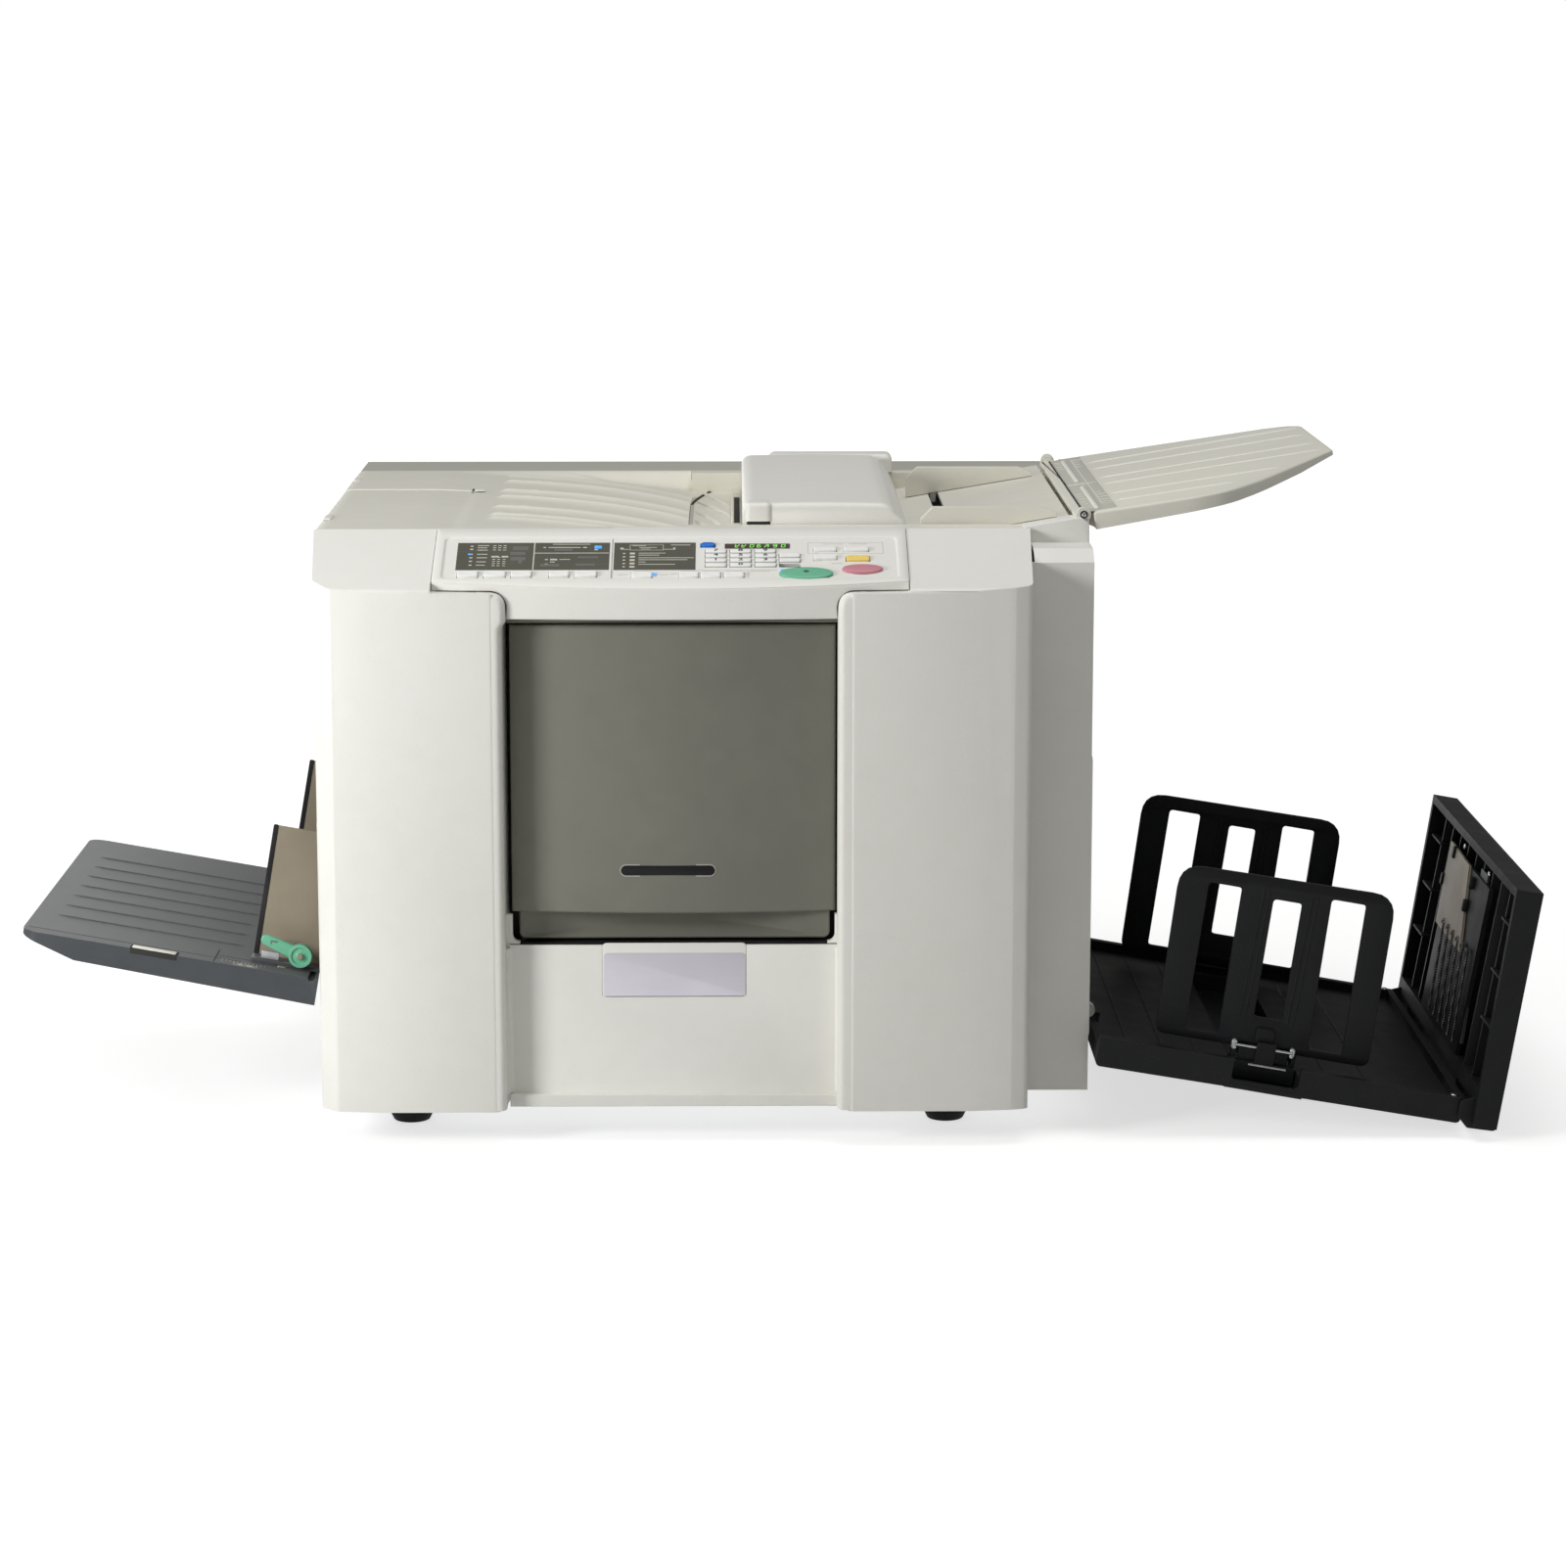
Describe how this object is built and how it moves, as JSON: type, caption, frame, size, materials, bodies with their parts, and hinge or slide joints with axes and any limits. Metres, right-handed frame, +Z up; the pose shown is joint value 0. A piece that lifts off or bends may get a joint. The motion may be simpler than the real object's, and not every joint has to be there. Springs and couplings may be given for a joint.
{
  "type": "digital duplicator",
  "caption": "Digital duplicator with open paper trays, side fences, a hinged front door, a sloping key panel and a fold-out tray for originals.",
  "frame": {"origin": "centre of the whole object's box in plan, on the floor under the feet", "axes": "+X to the machine's right, from the paper feed to the delivery side, +Y to its back, +Z up"},
  "size_m": [1.2534, 0.66, 0.548],
  "materials": {
    "white_plastic": "fine spark texture",
    "grey_top_plastic": "fine spark texture",
    "door_grey": "fine satin, warm grey-green",
    "tray_grey": "satin",
    "black_plastic": "satin",
    "guide_brown": "satin paint",
    "green_plastic": "satin gloss",
    "pink_plastic": "satin gloss",
    "yellow_plastic": "satin gloss",
    "blue_plastic": "satin gloss",
    "key_white": "satin",
    "dark_window": "tinted, smooth",
    "badge_metal": "fine brushed, pale lilac tint",
    "sheet_steel": "zinc plated, satin",
    "turned_steel": "turned",
    "screen_steel": "fine mesh",
    "aluminium_bar": "milled",
    "black_rubber": "matt",
    "master_film": "smooth film on a core",
    "board_green": "solder mask"
  },
  "bodies": {
    "casing": {"base_pan": "sheet_steel", "rubber_feet": "black_rubber", "left_front_cover": "white_plastic", "right_front_cover": "white_plastic", "lower_front_panel": "white_plastic", "badge_plate": "badge_metal", "left_side_cover": "white_plastic", "right_side_cover": "white_plastic", "rear_cover": "grey_top_plastic", "panel_housing": "white_plastic", "display_windows": "dark_window", "scanner_bed": "grey_top_plastic", "image_sensor": "black_plastic", "front_frame_plate": "sheet_steel", "rear_frame_plate": "sheet_steel", "tie_bars": "turned_steel", "drum_shaft": "green_plastic", "ink_cartridge": "white_plastic", "main_motor": "black_plastic", "feed_deck": "black_plastic", "suction_unit": "black_plastic", "thermal_head": "aluminium_bar", "disposal_box": "tray_grey", "circuit_board": "board_green", "power_inlet": "black_plastic", "door_hinge_pins": "turned_steel", "drive_belt": "black_rubber"},
    "door": {"front_door": "door_grey"},
    "start_key_body": {"start_key": "green_plastic"},
    "stop_key_body": {"stop_key": "pink_plastic"},
    "reset_key_body": {"reset_key": "yellow_plastic"},
    "mode_key_body": {"mode_key": "blue_plastic"},
    "number_keys_body": {"number_keys": "key_white"},
    "function_keys_body": {"function_keys": "key_white"},
    "master_cover_body": {"master_cover": "grey_top_plastic"},
    "adf_cover_body": {"adf_cover": "white_plastic"},
    "adf_feed_roller_body": {"adf_feed_roller": "black_rubber"},
    "original_guide_front_body": {"original_guide_front": "grey_top_plastic"},
    "original_guide_back_body": {"original_guide_back": "grey_top_plastic"},
    "original_tray_body": {"original_tray": "grey_top_plastic"},
    "feed_tray_body": {"feed_tray": "tray_grey"},
    "feed_guide_front_body": {"feed_guide_front": "guide_brown"},
    "feed_guide_back_body": {"feed_guide_back": "guide_brown"},
    "guide_lock_lever_body": {"guide_lock_lever": "green_plastic"},
    "lift_plate_body": {"lift_plate": "sheet_steel"},
    "receiving_tray_body": {"receiving_tray": "black_plastic"},
    "fence_base_front_body": {"fence_base_front": "black_plastic"},
    "fence_base_back_body": {"fence_base_back": "black_plastic"},
    "side_fence_front_body": {"side_fence_front": "black_plastic"},
    "side_fence_back_body": {"side_fence_back": "black_plastic"},
    "end_fence_body": {"end_fence": "black_plastic"},
    "pressure_roller_body": {"pressure_roller": "black_rubber"},
    "timing_roller_body": {"timing_roller": "black_rubber"},
    "pickup_roller_body": {"pickup_roller": "black_rubber"},
    "platen_roller_body": {"platen_roller": "black_rubber"},
    "master_roll_body": {"master_roll": "master_film"},
    "motor_pulley_body": {"motor_pulley": "turned_steel"},
    "power_switch_body": {"power_switch": "black_plastic"},
    "drum": {"print_drum": "screen_steel", "drum_pulley": "black_plastic"}
  },
  "joints": [
    {"name": "door_open", "type": "hinge", "parent": "casing", "child": "door", "pos_m": [-0.213, -0.29, 0.3], "axis": [0, 0, -1], "range_deg": [0, 90]},
    {"name": "start_press", "type": "slide", "parent": "casing", "child": "start_key_body", "axis": [0, 0.3552, -0.9348], "range_m": [0, 0.0012], "stiffness_N_per_m": 400, "springref_m": -0.0003},
    {"name": "stop_press", "type": "slide", "parent": "casing", "child": "stop_key_body", "axis": [0, 0.3552, -0.9348], "range_m": [0, 0.0012], "stiffness_N_per_m": 400, "springref_m": -0.0003},
    {"name": "reset_press", "type": "slide", "parent": "casing", "child": "reset_key_body", "axis": [0, 0.3552, -0.9348], "range_m": [0, 0.0012], "stiffness_N_per_m": 400, "springref_m": -0.0003},
    {"name": "mode_press", "type": "slide", "parent": "casing", "child": "mode_key_body", "axis": [0, 0.3552, -0.9348], "range_m": [0, 0.0012], "stiffness_N_per_m": 400, "springref_m": -0.0003},
    {"name": "number_press", "type": "slide", "parent": "casing", "child": "number_keys_body", "axis": [0, 0.3552, -0.9348], "range_m": [0, 0.0012], "stiffness_N_per_m": 400, "springref_m": -0.0003},
    {"name": "function_press", "type": "slide", "parent": "casing", "child": "function_keys_body", "axis": [0, 0.3552, -0.9348], "range_m": [0, 0.0012], "stiffness_N_per_m": 400, "springref_m": -0.0003},
    {"name": "master_cover_open", "type": "hinge", "parent": "casing", "child": "master_cover_body", "pos_m": [-0.374, -0.01, 0.4895], "axis": [0, -1, 0], "range_deg": [0, 60]},
    {"name": "adf_cover_open", "type": "hinge", "parent": "casing", "child": "adf_cover_body", "pos_m": [-0.025, 0, 0.495], "axis": [0, -1, 0], "range_deg": [0, 60]},
    {"name": "adf_roller_spin", "type": "hinge", "parent": "casing", "child": "adf_feed_roller_body", "pos_m": [0.088, 0, 0.4752], "axis": [0, 1, 0], "continuous": true},
    {"name": "original_guide_move", "type": "slide", "parent": "casing", "child": "original_guide_front_body", "axis": [0, -1, 0], "range_m": [-0.1, 0]},
    {"name": "original_guide_follow", "type": "slide", "parent": "casing", "child": "original_guide_back_body", "axis": [0, 1, 0], "range_m": [-0.1, 0]},
    {"name": "original_tray_fold", "type": "hinge", "parent": "casing", "child": "original_tray_body", "pos_m": [0.2525, -0.02, 0.5126], "axis": [0, 1, 0], "range_deg": [-160, 0]},
    {"name": "feed_tray_fold", "type": "hinge", "parent": "casing", "child": "feed_tray_body", "pos_m": [-0.388, -0.109, 0.1381], "axis": [0, 1, 0], "range_deg": [0, 80]},
    {"name": "feed_guide_move", "type": "slide", "parent": "feed_tray_body", "child": "feed_guide_front_body", "axis": [0, -1, 0], "range_m": [-0.095, 0]},
    {"name": "feed_guide_follow", "type": "slide", "parent": "feed_tray_body", "child": "feed_guide_back_body", "axis": [0, 1, 0], "range_m": [-0.095, 0]},
    {"name": "lock_lever_turn", "type": "hinge", "parent": "feed_guide_front_body", "child": "guide_lock_lever_body", "pos_m": [-0.39863, -0.284, 0.15267], "axis": [0, 1, 0], "range_deg": [0, 70]},
    {"name": "lift_plate_raise", "type": "hinge", "parent": "casing", "child": "lift_plate_body", "pos_m": [-0.366, -0.109, 0.131], "axis": [0, -1, 0], "range_deg": [0, 30]},
    {"name": "receiving_tray_fold", "type": "hinge", "parent": "casing", "child": "receiving_tray_body", "pos_m": [0.262, -0.109, 0.088], "axis": [0, -1, 0], "range_deg": [0, 55]},
    {"name": "fence_move", "type": "slide", "parent": "receiving_tray_body", "child": "fence_base_front_body", "axis": [0, -1, 0], "range_m": [-0.095, 0]},
    {"name": "side_fence_front_fold", "type": "hinge", "parent": "fence_base_front_body", "child": "side_fence_front_body", "pos_m": [0.4048, -0.268, 0.06282], "axis": [-0.9848, 0, 0.1736], "range_deg": [0, 85]},
    {"name": "fence_follow", "type": "slide", "parent": "receiving_tray_body", "child": "fence_base_back_body", "axis": [0, 1, 0], "range_m": [-0.095, 0]},
    {"name": "side_fence_back_fold", "type": "hinge", "parent": "fence_base_back_body", "child": "side_fence_back_body", "pos_m": [0.4048, 0.05, 0.06282], "axis": [0.9848, 0, -0.1736], "range_deg": [0, 85]},
    {"name": "end_fence_fold", "type": "hinge", "parent": "receiving_tray_body", "child": "end_fence_body", "pos_m": [0.56747, -0.109, 0.01789], "axis": [0, -1, 0], "range_deg": [0, 25]},
    {"name": "drum_spin", "type": "hinge", "parent": "casing", "child": "drum", "pos_m": [-0.089, -0.1, 0.311], "axis": [0, 1, 0], "continuous": true},
    {"name": "motor_spin", "type": "hinge", "parent": "casing", "child": "motor_pulley_body", "pos_m": [0.06, 0.07, 0.12], "axis": [0, 1, 0], "continuous": true},
    {"name": "pressure_roller_spin", "type": "hinge", "parent": "casing", "child": "pressure_roller_body", "pos_m": [-0.089, -0.1, 0.1955], "axis": [0, 1, 0], "continuous": true},
    {"name": "timing_roller_spin", "type": "hinge", "parent": "casing", "child": "timing_roller_body", "pos_m": [-0.15, -0.1, 0.208], "axis": [0, 1, 0], "continuous": true},
    {"name": "pickup_roller_spin", "type": "hinge", "parent": "casing", "child": "pickup_roller_body", "pos_m": [-0.207, -0.1, 0.24], "axis": [0, 1, 0], "continuous": true},
    {"name": "platen_roller_spin", "type": "hinge", "parent": "casing", "child": "platen_roller_body", "pos_m": [-0.215, -0.1, 0.43], "axis": [0, 1, 0], "continuous": true},
    {"name": "master_roll_spin", "type": "hinge", "parent": "casing", "child": "master_roll_body", "pos_m": [-0.3, -0.1, 0.405], "axis": [0, 1, 0], "continuous": true},
    {"name": "power_switch_rock", "type": "hinge", "parent": "casing", "child": "power_switch_body", "pos_m": [0.252, 0.25, 0.11], "axis": [0, 1, 0], "range_deg": [0, 12]}
  ],
  "couplings": [
    {"joint": "original_guide_follow", "follows": "original_guide_move", "ratio": 1},
    {"joint": "feed_guide_follow", "follows": "feed_guide_move", "ratio": 1},
    {"joint": "fence_follow", "follows": "fence_move", "ratio": 1},
    {"joint": "motor_spin", "follows": "drum_spin", "ratio": 4.2168},
    {"joint": "pressure_roller_spin", "follows": "drum_spin", "ratio": -3.6},
    {"joint": "timing_roller_spin", "follows": "drum_spin", "ratio": -9}
  ]
}
